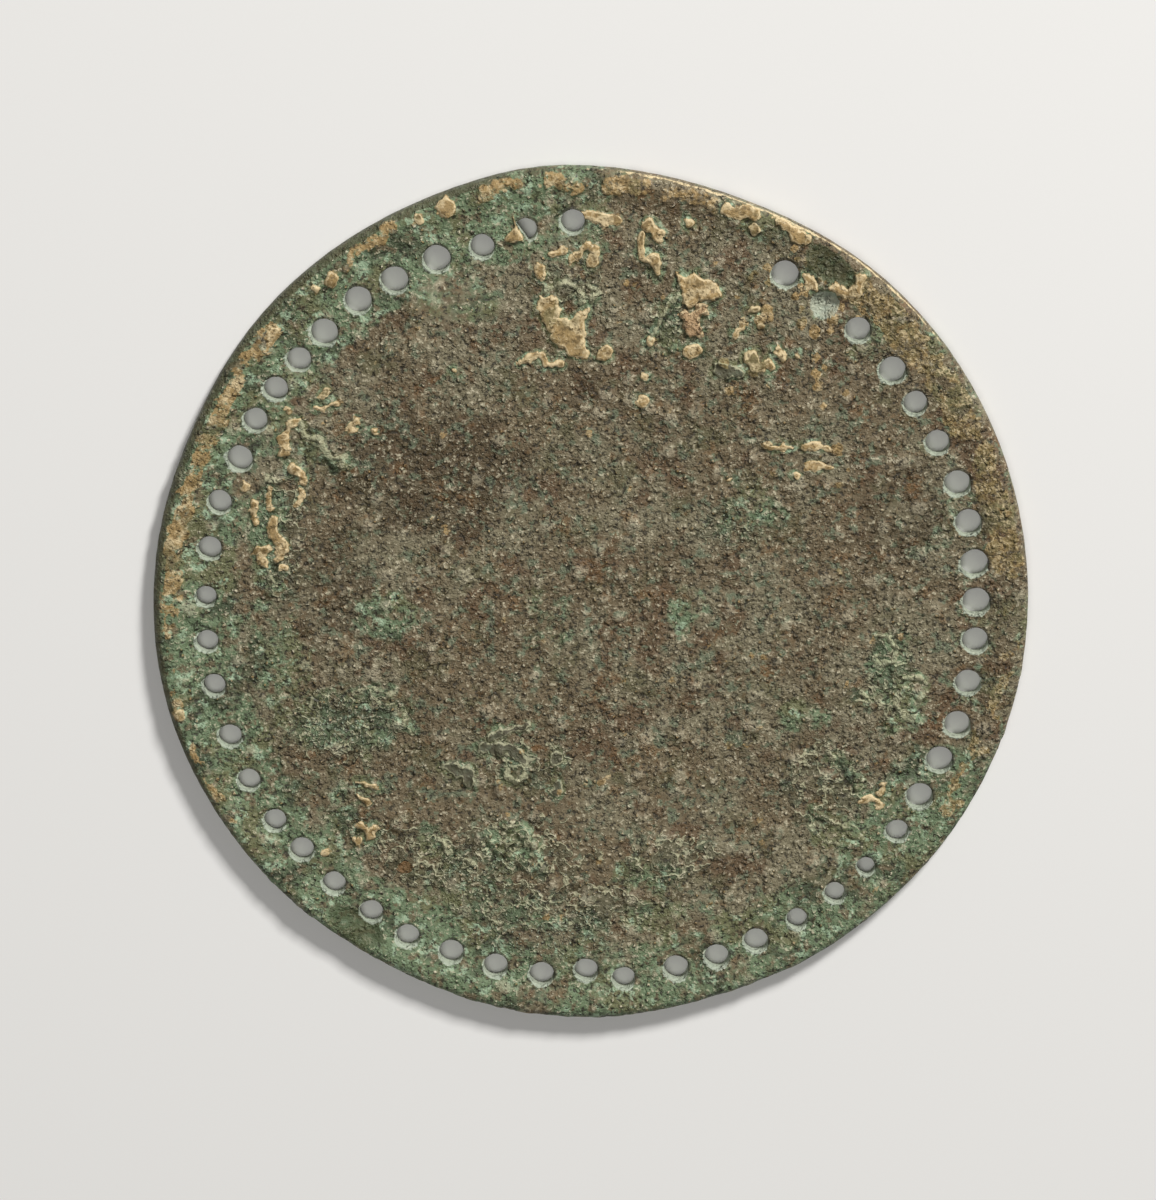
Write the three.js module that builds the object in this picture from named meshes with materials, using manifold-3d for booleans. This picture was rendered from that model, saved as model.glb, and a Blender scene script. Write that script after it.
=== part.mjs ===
// Bronze mirror with a pierced border, cast and hammered as one disc, with its face corroded.
// The disc lies on its back at z = 0 with its face up (+Z). +Y is the side that a handle once
// joined, where the border has a gap in its holes. All lengths are in millimetres, all angles in
// degrees, and bearings run anticlockwise from +X.

import * as THREE from "three";
import { mergeVertices } from "three/addons/utils/BufferGeometryUtils.js";
import Module from "manifold-3d";

// Driving dimensions of the disc
const discDiameter = 110;
const fieldThickness = 2.1;
const rimHeight = 0.45; // of the rounded rim above the field
const rimWidth = 4.6; // from the edge to the foot of the rim's inner slope
const edgeRound = 1.1; // radius of the rim's outer shoulder
const crestWidth = 1.2; // of the rim's top, inside the shoulder
const crestFall = 0.07; // how far the top falls towards the field
const backBevel = 0.3; // small bevel round the underside

// The ring of holes, punched by eye from the face
const ringInset = 6.6; // from the edge to the holes' centres
const ringDrop = 0.8; // the ring lies this far below the disc's centre
const punchWidth = 3.1;
const mouthWidth = 0.3; // how much wider the worn mouth is, on each side
const mouthDepth = 0.5;

// Runs of evenly spaced holes. A run's last hole is at `to` degrees. `wear` widens its holes, or
// narrows them where corrosion has crept in, and `out` moves them outwards from the ring.
const holeRuns = [
  { holes: 1, to: 92.6, wear: -0.1, out: 0.9 },
  { holes: 1, to: 99.6, wear: -0.2, out: 0.5 },
  { holes: 1, to: 106.5, wear: -0.1, out: -0.4 },
  { holes: 2, to: 120.6, wear: 0.3, out: 0.05 },
  { holes: 1, to: 126.8, wear: 0.3, out: 0.4 },
  { holes: 1, to: 133.8, wear: 0.3, out: 0 },
  { holes: 3, to: 150.8, wear: -0.05, out: -0.1 },
  { holes: 1, to: 157.2, wear: 0.15, out: -0.5 },
  { holes: 2, to: 171.8, wear: -0.15, out: 0 },
  { holes: 1, to: 179.2, wear: -0.5, out: 0 },
  { holes: 2, to: 192.9, wear: -0.3, out: 0.15 },
  { holes: 1, to: 201.0, wear: -0.1, out: 0.2 },
  { holes: 2, to: 215.5, wear: -0.2, out: 0.4 },
  { holes: 1, to: 221.5, wear: -0.05, out: 0.05 },
  { holes: 2, to: 235.5, wear: -0.15, out: 0.3 },
  { holes: 1, to: 242.0, wear: -0.1, out: 0.65 },
  { holes: 3, to: 262.7, wear: 0, out: 0.25 },
  { holes: 1, to: 269.3, wear: -0.1, out: -0.7 },
  { holes: 1, to: 274.9, wear: -0.25, out: 0.55 },
  { holes: 1, to: 282.8, wear: 0.05, out: 0.25 },
  { holes: 2, to: 295.4, wear: 0, out: 0.2 },
  { holes: 2, to: 309.2, wear: -0.4, out: 0.25 },
  { holes: 1, to: 315.3, wear: -0.75, out: 0.4 },
  { holes: 1, to: 322.4, wear: -0.2, out: 0.3 },
  { holes: 2, to: 335.0, wear: 0.25, out: 0.05 },
  { holes: 1, to: 341.0, wear: 0.25, out: 0.4 },
  { holes: 2, to: 354.1, wear: 0.2, out: 0.25 },
  { holes: 2, to: 365.9, wear: 0.4, out: 0.15 },
  { holes: 2, to: 378.4, wear: 0.2, out: 0.25 },
  { holes: 2, to: 392.2, wear: -0.05, out: -0.1 },
  { holes: 1, to: 398.3, wear: 0.3, out: 0 },
  { holes: 1, to: 406.3, wear: 0.05, out: 0.3 },
];
const loneHole = { bearing: 60.0, wear: 0.3, out: 0.55 }; // right of the handle's gap
const filledHole = { bearing: 52.5, out: 0.1 }; // closed by corrosion, all but a pit
const pitDepth = 0.8;
const pitFloor = 2.2; // width of the pit's floor

// Places where the edge is worn flat (depth above 0) or stands proud (below 0)
const wornStretches = [
  { bearing: 69, halfWidth: 14, depth: 0.6 },
  { bearing: 97, halfWidth: 10, depth: -0.5 },
  { bearing: 156, halfWidth: 13, depth: 0.55 },
  { bearing: 194, halfWidth: 14, depth: -0.3 },
  { bearing: 240, halfWidth: 13, depth: 0.5 },
  { bearing: 289, halfWidth: 12, depth: 0.5 },
  { bearing: 312, halfWidth: 10, depth: 0.2 },
  { bearing: 350, halfWidth: 18, depth: -0.2 },
];

// A dent where the rim beside the filled hole has been lost
const dent = { bearing: 55, inset: 2.9, halfLength: 4.4, halfWidth: 2.3, depth: 0.55 };

// Crusts that stand on the face. `inset` runs from the edge to a crust's middle, and `turn` is
// the angle of its long side from the edge's own direction there.
const crusts = [
  // on the rim, over the top left
  { bearing: 69.2, inset: 1.9, turn: 0, long: 4.4, wide: 1.6, high: 0.25 },
  { bearing: 66.5, inset: 3.2, turn: 0, long: 2.4, wide: 1.5, high: 0.25 },
  { bearing: 95, inset: 1.6, turn: 0, long: 6.6, wide: 2.6, high: 0.2 },
  { bearing: 103, inset: 1.5, turn: 0, long: 3.2, wide: 1.8, high: 0.2 },
  { bearing: 109.5, inset: 1.5, turn: 0, long: 2.9, wide: 2.3, high: 0.3 },
  { bearing: 113.3, inset: 1.7, turn: 0, long: 1.8, wide: 1.6, high: 0.25 },
  { bearing: 121, inset: 1.9, turn: 0, long: 7.6, wide: 2.3, high: 0.3 },
  { bearing: 128, inset: 2.7, turn: 0, long: 2.8, wide: 2.4, high: 0.25 },
  // in the handle's gap and below it
  { bearing: 80.8, inset: 6.9, turn: 0, long: 2.7, wide: 2.4, high: 0.45 },
  { bearing: 82.1, inset: 9.3, turn: 90, long: 2.4, wide: 1.5, high: 0.35 },
  { bearing: 79.5, inset: 11.2, turn: 90, long: 2.8, wide: 1.9, high: 0.45 },
  { bearing: 91, inset: 11.0, turn: 0, long: 5.0, wide: 1.6, high: 0.3 },
  { bearing: 71.5, inset: 12.5, turn: -5, long: 5.4, wide: 3.8, high: 0.45 },
  { bearing: 70.3, inset: 17.1, turn: -65, long: 4.8, wide: 2.1, high: 0.45 },
  { bearing: 77, inset: 20.8, turn: 0, long: 1.8, wide: 1.8, high: 0.35 },
  { bearing: 98.3, inset: 17.2, turn: -67, long: 4.2, wide: 2.7, high: 0.45 },
  { bearing: 94.3, inset: 20.9, turn: 0, long: 4.6, wide: 4.6, high: 0.5 },
  { bearing: 87.3, inset: 23.2, turn: 0, long: 2.3, wide: 1.5, high: 0.4 },
  { bearing: 101.6, inset: 23.2, turn: -26, long: 4.2, wide: 1.3, high: 0.4 },
  { bearing: 60.3, inset: 20.7, turn: 40, long: 4.4, wide: 2.3, high: 0.35 },
  { bearing: 55.5, inset: 17.6, turn: 50, long: 3.4, wide: 1.9, high: 0.4 },
  { bearing: 53.2, inset: 15.5, turn: 0, long: 1.8, wide: 1.5, high: 0.35 },
  { bearing: 50.9, inset: 4.2, turn: 0, long: 2.6, wide: 2.0, high: 0.25 },
  // curls on the left
  { bearing: 147.4, inset: 11.9, turn: -15, long: 4.6, wide: 1.4, high: 0.4 },
  { bearing: 152.2, inset: 11.8, turn: 28, long: 3.0, wide: 1.8, high: 0.45 },
  { bearing: 149.8, inset: 16.6, turn: 77, long: 5.4, wide: 1.9, high: 0.4 },
  { bearing: 156.1, inset: 15.5, turn: 24, long: 5.2, wide: 1.4, high: 0.4 },
  { bearing: 162.6, inset: 12.8, turn: 22, long: 4.4, wide: 1.3, high: 0.35 },
  { bearing: 165, inset: 11.3, turn: 25, long: 4.0, wide: 1.2, high: 0.35 },
  { bearing: 168.5, inset: 14.9, turn: 31, long: 5.6, wide: 2.0, high: 0.45 },
  { bearing: 171.5, inset: 13.1, turn: 79, long: 2.4, wide: 1.6, high: 0.35 },
  { bearing: 173.5, inset: 16.1, turn: 0, long: 2.0, wide: 1.7, high: 0.35 },
  // green crusts on the lower half
  { bearing: 351.2, inset: 17.0, turn: 10, long: 4.6, wide: 2.8, high: 0.3 },
  { bearing: 341.7, inset: 12.4, turn: 0, long: 6.4, wide: 3.0, high: 0.25 },
  { bearing: 253.2, inset: 22.2, turn: 70, long: 6.0, wide: 3.4, high: 0.3 },
  { bearing: 223.1, inset: 16.2, turn: 45, long: 3.6, wide: 2.4, high: 0.3 },
];
const crustRoot = 0.3; // how deep a crust's widest part lies in the metal

// A flake of crust that has closed the left half of one hole, from its bearing and inset
const flake = { bearing: 101.3, inset: 7.3, turn: -55, long: 3.6, wide: 2.3, high: 0.45 };

const discRadius = discDiameter / 2;
const rimTop = fieldThickness + rimHeight;
const discSides = 120;
const shoulderSteps = 4;
const holeSides = 14;
const dentSides = 20;
const throughCut = 1; // how far a cutter reaches past the faces

const wasm = await Module();
wasm.setup();

// A closed three.js geometry as a manifold-3d solid.
function solidOf(geometry) {
  const bare = geometry.clone();
  bare.deleteAttribute("normal");
  bare.deleteAttribute("uv");
  const merged = mergeVertices(bare, 1e-4);
  const corners = merged.attributes.position.count;
  const triangles = merged.index ? merged.index.array : Array.from({ length: corners }, (_, i) => i);
  return new wasm.Manifold(
    new wasm.Mesh({
      numProp: 3,
      vertProperties: merged.attributes.position.array,
      triVerts: new Uint32Array(triangles),
    }),
  );
}

// A manifold-3d solid as a three.js geometry.
function geometryOf(solid) {
  const mesh = solid.getMesh();
  const geometry = new THREE.BufferGeometry();
  geometry.setAttribute("position", new THREE.BufferAttribute(mesh.vertProperties, 3));
  geometry.setIndex(new THREE.BufferAttribute(mesh.triVerts, 1));
  geometry.computeVertexNormals();
  return geometry;
}

// A profile of [radius, height] points turned about +Z.
function turned(profile, sides) {
  const points = profile.map(([radius, height]) => new THREE.Vector2(radius, height));
  return new THREE.LatheGeometry(points, sides).rotateX(Math.PI / 2);
}

const radians = (degrees) => THREE.MathUtils.degToRad(degrees);

// The point at a bearing and a distance from the disc's centre.
function placeAt(bearing, reach) {
  return [reach * Math.cos(radians(bearing)), reach * Math.sin(radians(bearing))];
}

// The disc's half section: underside, bevel, rounded outer shoulder, rim, inner slope and field.
function discProfile() {
  const profile = [
    [0, 0],
    [discRadius - backBevel, 0],
    [discRadius, backBevel],
  ];
  for (let i = 0; i <= shoulderSteps; i++) {
    const angle = (Math.PI / 2) * (i / shoulderSteps);
    profile.push([
      discRadius - edgeRound * (1 - Math.cos(angle)),
      rimTop - edgeRound * (1 - Math.sin(angle)),
    ]);
  }
  profile.push([discRadius - edgeRound - crestWidth, rimTop - crestFall]);
  profile.push([discRadius - rimWidth, fieldThickness]);
  profile.push([0, fieldThickness]);
  return profile;
}

// The height of the face at an inset from the edge, inside the shoulder.
function faceHeight(inset) {
  const crestEnd = edgeRound + crestWidth;
  if (inset >= rimWidth) return fieldThickness;
  if (inset <= crestEnd) return rimTop - crestFall;
  return fieldThickness + ((rimHeight - crestFall) * (rimWidth - inset)) / (rimWidth - crestEnd);
}

// How far the edge stands in from the true circle at a bearing.
function wearAt(bearing) {
  return wornStretches.reduce((sum, stretch) => {
    const away = ((bearing - stretch.bearing + 540) % 360) - 180;
    return sum + stretch.depth * Math.exp(-((away / stretch.halfWidth) ** 2));
  }, 0);
}

// The worn outline: points beyond the rim's foot move in or out with the edge.
function wearOutline(geometry) {
  const position = geometry.attributes.position;
  const foot = discRadius - rimWidth;
  for (let i = 0; i < position.count; i++) {
    const x = position.getX(i);
    const y = position.getY(i);
    const radius = Math.hypot(x, y);
    if (radius <= foot) continue;
    const share = (radius - foot) / rimWidth;
    const bearing = THREE.MathUtils.radToDeg(Math.atan2(y, x));
    const factor = 1 - (wearAt(bearing) * share) / radius;
    position.setX(i, x * factor);
    position.setY(i, y * factor);
  }
  return geometry;
}

// Where a hole's axis crosses the face. The ring is round, and its centre lies below the disc's.
function onRing(bearing, out) {
  return placeAt(bearing, discRadius - ringInset + out - ringDrop * Math.sin(radians(bearing)));
}

// Every open hole's place and bore.
function holeList() {
  const holes = [{ place: onRing(loneHole.bearing, loneHole.out), bore: punchWidth + loneHole.wear }];
  let from = 0;
  for (const run of holeRuns) {
    for (let i = 1; i <= run.holes; i++) {
      const bearing = from + ((run.to - from) * i) / run.holes;
      holes.push({ place: onRing(bearing, run.out), bore: punchWidth + run.wear });
    }
    from = run.to;
  }
  return holes;
}

// What a punched hole takes away: a straight bore with a worn, wider mouth on the face.
function punch(bore) {
  const radius = bore / 2;
  const mouth = radius + mouthWidth;
  return solidOf(
    turned(
      [
        [0, -throughCut],
        [radius, -throughCut],
        [radius, fieldThickness - mouthDepth],
        [mouth, fieldThickness],
        [mouth, rimTop + throughCut],
        [0, rimTop + throughCut],
      ],
      holeSides,
    ),
  );
}

// What the filled hole still lacks: a shallow pit in the face.
function pitCutter() {
  const mouth = punchWidth / 2 + mouthWidth;
  return solidOf(
    turned(
      [
        [0, fieldThickness - pitDepth],
        [pitFloor / 2, fieldThickness - pitDepth],
        [mouth, fieldThickness],
        [mouth, rimTop + throughCut],
        [0, rimTop + throughCut],
      ],
      holeSides,
    ),
  );
}

// A shallow bowl pressed into the rim, longer along the edge than across it.
function dentCutter() {
  const bowlHeight = dent.depth * 2;
  const bowl = new THREE.SphereGeometry(1, dentSides, dentSides / 2);
  bowl.rotateX(Math.PI / 2);
  bowl.scale(dent.halfWidth, dent.halfLength, bowlHeight);
  bowl.rotateZ(radians(dent.bearing));
  const [x, y] = placeAt(dent.bearing, discRadius - dent.inset);
  bowl.translate(x, y, rimTop + bowlHeight - dent.depth);
  return solidOf(bowl);
}

// A low rounded crust, rooted in the face.
function crustMound(crust) {
  const mound = new THREE.IcosahedronGeometry(1, 1);
  mound.scale(crust.wide / 2, crust.long / 2, crust.high + crustRoot);
  mound.rotateZ(radians(crust.bearing + crust.turn));
  const [x, y] = placeAt(crust.bearing, discRadius - crust.inset);
  mound.translate(x, y, faceHeight(crust.inset) - crustRoot);
  return solidOf(mound);
}

function mirrorDisc() {
  let disc = solidOf(wearOutline(turned(discProfile(), discSides)));
  for (const crust of crusts) {
    disc = disc.add(crustMound(crust));
  }
  for (const hole of holeList()) {
    disc = disc.subtract(punch(hole.bore).translate([...hole.place, 0]));
  }
  disc = disc.subtract(pitCutter().translate([...onRing(filledHole.bearing, filledHole.out), 0]));
  return disc.subtract(dentCutter()).add(crustMound(flake));
}

const corrodedBronze = new THREE.MeshStandardMaterial({
  color: 0x6f6552,
  roughness: 0.8,
  metalness: 0.25,
});

const mirror = new THREE.Mesh(geometryOf(mirrorDisc()), corrodedBronze);
mirror.name = "mirror_disc";

const group = new THREE.Group();
group.add(mirror);

export default group;
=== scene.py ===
import math

import bmesh
import bpy
import numpy as np
from mathutils import Matrix, Vector
from mathutils.kdtree import KDTree


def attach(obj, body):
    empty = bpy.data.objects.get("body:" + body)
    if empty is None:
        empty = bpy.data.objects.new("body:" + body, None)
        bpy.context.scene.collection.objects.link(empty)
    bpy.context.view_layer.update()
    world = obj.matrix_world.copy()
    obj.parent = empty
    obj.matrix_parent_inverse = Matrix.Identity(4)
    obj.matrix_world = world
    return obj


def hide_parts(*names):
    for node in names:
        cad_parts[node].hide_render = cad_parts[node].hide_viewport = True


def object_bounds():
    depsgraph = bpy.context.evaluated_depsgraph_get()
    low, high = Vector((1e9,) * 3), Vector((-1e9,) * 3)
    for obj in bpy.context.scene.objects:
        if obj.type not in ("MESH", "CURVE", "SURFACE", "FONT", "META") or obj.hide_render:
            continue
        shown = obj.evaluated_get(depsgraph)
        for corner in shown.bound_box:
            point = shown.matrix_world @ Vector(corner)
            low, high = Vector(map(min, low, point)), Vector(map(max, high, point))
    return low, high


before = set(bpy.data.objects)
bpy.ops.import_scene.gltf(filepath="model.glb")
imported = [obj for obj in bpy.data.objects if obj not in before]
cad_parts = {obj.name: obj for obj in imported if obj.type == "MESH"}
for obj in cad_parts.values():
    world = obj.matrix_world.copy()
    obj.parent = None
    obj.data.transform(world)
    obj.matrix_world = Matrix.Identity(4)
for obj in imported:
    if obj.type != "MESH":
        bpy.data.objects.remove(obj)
cad_low, cad_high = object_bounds()

# The plate
# One disc of bronze, cast and hammered flat, about 2 mm thick, with a low rounded rim. Its
# outline and its bores are read off the CAD solid by a slice, and a finer skin is laid over them.
# Lengths on the mirror are in millimetres, and its finished mesh is scaled to metres.
MILLIMETRE = 0.001
FIELD_THICK = 2.1
RIM_HEIGHT = 0.45
RIM_WIDTH = 4.6
EDGE_ROUND = 1.1
CREST_WIDTH = 1.2
CREST_FALL = 0.07
BACK_BEVEL = 0.3
SLICE_HEIGHT = 0.8
FACE_ROWS = 216
BACK_ROWS = 80
BACK_BORDER = 1.2
FINER = [(0.9, 0.6), (0.4, 0.25)]


def slice_loops(solid, height):
    """The closed outlines that a level plane cuts from a solid, each as points in millimetres."""
    cut = bmesh.new()
    cut.from_mesh(solid.data)
    bmesh.ops.remove_doubles(cut, verts=cut.verts, dist=1e-7)
    everything = cut.verts[:] + cut.edges[:] + cut.faces[:]
    bmesh.ops.bisect_plane(
        cut,
        geom=everything,
        plane_co=(0, 0, height * MILLIMETRE),
        plane_no=(0, 0, 1),
        clear_inner=True,
        clear_outer=True,
    )
    loops = []
    walked = set()
    for start in cut.verts:
        walk = []
        onward = [start] if start not in walked else []
        while onward:
            walk.append(onward[0])
            walked.add(onward[0])
            onward = [e.other_vert(walk[-1]) for e in walk[-1].link_edges]
            onward = [v for v in onward if v not in walked]
        if walk:
            loops.append(np.array([v.co[:2] for v in walk]) / MILLIMETRE)
    cut.free()
    return sorted(loops, key=lambda loop: -np.ptp(loop[:, 0]))


edge_loop, *bore_loops = slice_loops(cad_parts["mirror_disc"], SLICE_HEIGHT)
edge_bearings = np.arctan2(edge_loop[:, 1], edge_loop[:, 0])
edge_order = np.argsort(edge_bearings)
edge_bearings = edge_bearings[edge_order]
edge_reaches = np.hypot(*edge_loop.T)[edge_order]


def edge_at(bearing):
    """How far the worn edge is from the disc's middle, at each bearing in radians."""
    return np.interp(bearing, edge_bearings, edge_reaches, period=2 * math.pi)


def rim_section():
    """Points of the rim's section from the slope's foot outwards: inset, height, lean."""
    rows = []
    slope_width = RIM_WIDTH - EDGE_ROUND - CREST_WIDTH
    slope_rise = RIM_HEIGHT - CREST_FALL
    for share in np.linspace(0, 1, 9):
        rise = slope_rise * (1 - math.cos(math.pi * share)) / 2
        lean = -math.atan(slope_rise / slope_width * math.pi / 2 * math.sin(math.pi * share))
        rows.append((RIM_WIDTH - slope_width * share, FIELD_THICK + rise, lean))
    rim_top = FIELD_THICK + RIM_HEIGHT
    for turn in np.linspace(0, math.pi / 2, 9):
        inset = EDGE_ROUND * (1 - math.sin(turn))
        rows.append((inset, rim_top - EDGE_ROUND * (1 - math.cos(turn)), turn))
    rows.append((0, BACK_BEVEL, math.pi / 2))
    rows.append((BACK_BEVEL, 0, math.pi * 0.75))
    return np.array(rows)


section = rim_section()
section_steps = np.hypot(np.diff(section[:, 0]), np.diff(section[:, 1]))
section_runs = np.concatenate([[0], np.cumsum(section_steps)])


def turn_of(square):
    """The bearing that a point of the square grid gets when the grid is bent round to a disc."""
    sideways = np.abs(square[:, 0]) >= np.abs(square[:, 1])
    run = np.where(sideways, square[:, 0], square[:, 1])
    cross = np.where(sideways, square[:, 1], square[:, 0])
    share = np.divide(cross, run, out=np.zeros_like(run), where=np.abs(run) > 1e-9)
    turn = np.where(sideways, share, 2 - share) * math.pi / 4
    return np.where(run < 0, turn + math.pi, turn)


def travel_of(square):
    """How far a point of the face's grid lies from the middle, along the plate's skin."""
    edge = edge_at(turn_of(square))
    ring = np.abs(square[:, :2]).max(axis=1)
    return ring * (edge - RIM_WIDTH + section_runs[-1])


def points_of(grid):
    """The places of a grid's points as an array."""
    return np.array([vertex.co for vertex in grid.verts], float)


# The corroded face
# Burial has turned the bronze's skin to grains and blisters, and grown crusts of tan earth and
# green copper salts on it. They are raised here out of the plate's own skin, as heights along it,
# and the skin's mesh is made finer round the crusts.
GRAIN = 0.8
BLISTER = 1.2
LUMP = 2.1


def scatter(column, row, seed):
    """An even random number from 0 to 1 for each cell of a square lattice."""
    mixed = column.astype(np.int64) * 374761393 + row.astype(np.int64) * 668265263
    mixed = (mixed + seed * 974634777) & 0xFFFFFFFF
    mixed = ((mixed ^ (mixed >> 13)) * 1274126177) & 0xFFFFFFFF
    mixed = ((mixed ^ (mixed >> 15)) * 2246822519) & 0xFFFFFFFF
    return ((mixed ^ (mixed >> 16)) & 0xFFFFFF) / 0xFFFFFF


def unevenness(x, y, size, seed, layers=2):
    """Smooth random unevenness from -1 to 1, whose broadest waves are about size across."""
    total = np.zeros_like(x)
    weight = 1.0
    weights = 0.0
    for layer in range(layers):
        turn = 0.6 + 1.9 * layer
        column = (x * math.cos(turn) - y * math.sin(turn)) / size + 37.1 * seed
        row = (x * math.sin(turn) + y * math.cos(turn)) / size - 11.7 * seed
        whole_column = np.floor(column)
        whole_row = np.floor(row)
        part_column = column - whole_column
        part_row = row - whole_row
        ease_column = part_column**2 * (3 - 2 * part_column)
        ease_row = part_row**2 * (3 - 2 * part_row)
        near = scatter(whole_column, whole_row, seed) * (1 - ease_column)
        near = near + scatter(whole_column + 1, whole_row, seed) * ease_column
        far = scatter(whole_column, whole_row + 1, seed) * (1 - ease_column)
        far = far + scatter(whole_column + 1, whole_row + 1, seed) * ease_column
        total += weight * (2 * (near * (1 - ease_row) + far * ease_row) - 1)
        weights += weight
        weight *= 0.55
        size *= 0.5
    return total / weights * 1.6


def blisters(x, y, spacing, share, seed):
    """Round domes strewn over a lattice: each point's height from 0 to about half the spacing."""
    tallest = np.zeros_like(x)
    column = np.floor(x / spacing)
    row = np.floor(y / spacing)
    for step in range(9):
        near_column = column + step % 3 - 1
        near_row = row + step // 3 - 1
        centre_x = (near_column + 0.1 + 0.8 * scatter(near_column, near_row, seed)) * spacing
        centre_y = (near_row + 0.1 + 0.8 * scatter(near_column, near_row, seed + 1)) * spacing
        size = spacing * (0.3 + 0.28 * scatter(near_column, near_row, seed + 2))
        present = scatter(near_column, near_row, seed + 3) < share
        away = np.hypot(x - centre_x, y - centre_y) / size
        dome = np.sqrt(np.clip(1 - away**2, 0, 1)) * size * present
        tallest = np.maximum(tallest, dome)
    return tallest


def ease(value, low, high):
    """Rises smoothly from 0 at low to 1 at high."""
    share = np.clip((value - low) / (high - low), 0, 1)
    return share * share * (3 - 2 * share)


def patch(x, y, middle, half_size):
    """A soft oval patch: 1 in its middle, 0 outside its half sizes."""
    away = np.hypot((x - middle[0]) / half_size[0], (y - middle[1]) / half_size[1])
    return 1 - ease(away, 0.35, 1.0)


def zone(x, y, patches):
    """Soft oval patches taken together, each as its middle, its half sizes and its strength."""
    share = np.zeros_like(x)
    for middle, half_size, strength in patches:
        share = np.maximum(share, strength * patch(x, y, middle, half_size))
    return share


def stretch(bearings, first, last, soft=8):
    """1 along a stretch of the border, from one bearing anticlockwise to another, in degrees."""
    middle = (first + last) / 2
    away = np.abs((np.degrees(bearings) - middle + 540) % 360 - 180)
    return 1 - ease(away, (last - first) / 2 - soft / 2, (last - first) / 2 + soft / 2)


def depth_inside(x, y, path, wide):
    """How far each point lies inside a stroke of that width, or in an outline where wide is 0."""
    points = np.array(path, float)
    if wide == 0:
        ends = np.roll(points, -1, axis=0)
    elif len(points) == 1:
        ends = points + 1e-3
    else:
        ends = points[1:]
        points = points[:-1]
    nearest = np.full_like(x, 1e9)
    inside = np.zeros(x.shape, bool)
    for (ax, ay), (bx, by) in zip(points, ends):
        dx = bx - ax
        dy = by - ay
        along = np.clip(((x - ax) * dx + (y - ay) * dy) / (dx * dx + dy * dy), 0, 1)
        nearest = np.minimum(nearest, np.hypot(x - ax - along * dx, y - ay - along * dy))
        if wide == 0 and dy != 0:
            crosses = ((ay > y) != (by > y)) & (x < dx * (y - ay) / dy + ax)
            inside ^= crosses
    if wide == 0:
        return np.where(inside, nearest, -nearest)
    return wide / 2 - nearest


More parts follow.
